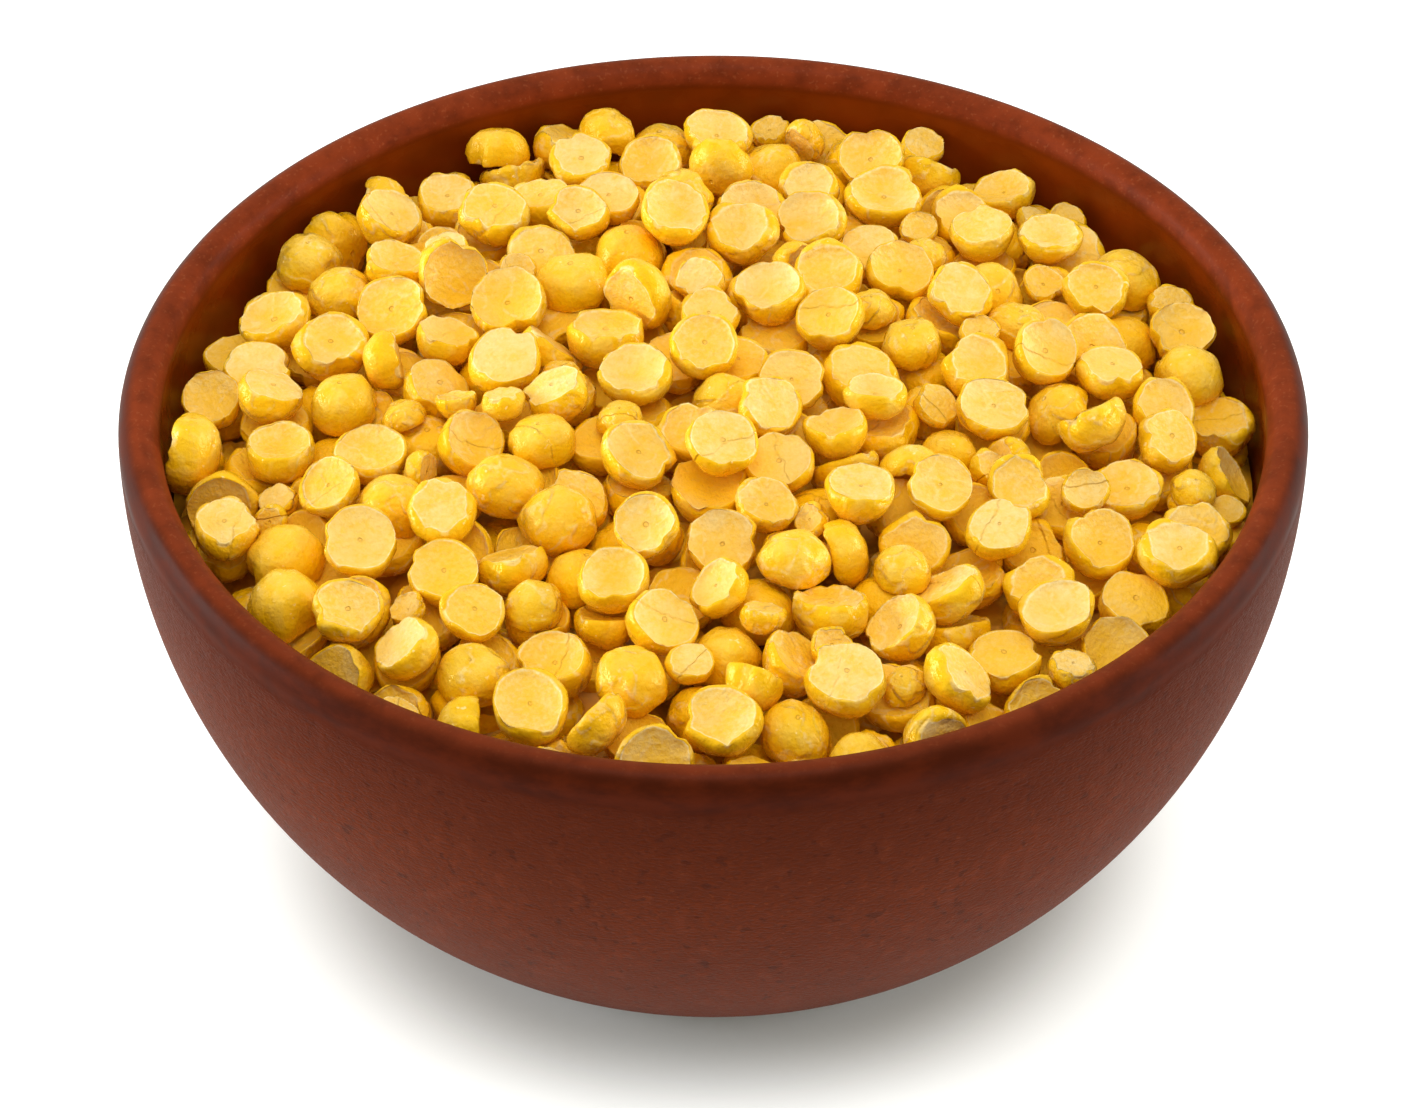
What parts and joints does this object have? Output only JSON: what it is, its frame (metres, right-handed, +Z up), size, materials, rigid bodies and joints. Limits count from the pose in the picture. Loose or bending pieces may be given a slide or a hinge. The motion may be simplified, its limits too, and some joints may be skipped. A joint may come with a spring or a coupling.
{
  "type": "bowl of split chickpeas",
  "caption": "Round clay bowl with a rounded lip and a flat foot, heaped with yellow split chickpeas.",
  "frame": {"origin": "centre of the flat foot, on the plane that the bowl stands on", "axes": "+Z up through the middle of the bowl, +X to the right and -Y towards the viewer of the reference view"},
  "size_m": [0.115, 0.115, 0.0593],
  "materials": {
    "clay": "matte red-brown clay, burnished at the lip",
    "split_chickpea": "dry split pulse, semi-matte golden yellow"
  },
  "bodies": {
    "root": {"bowl": "clay", "dal": "split_chickpea"}
  },
  "joints": []
}
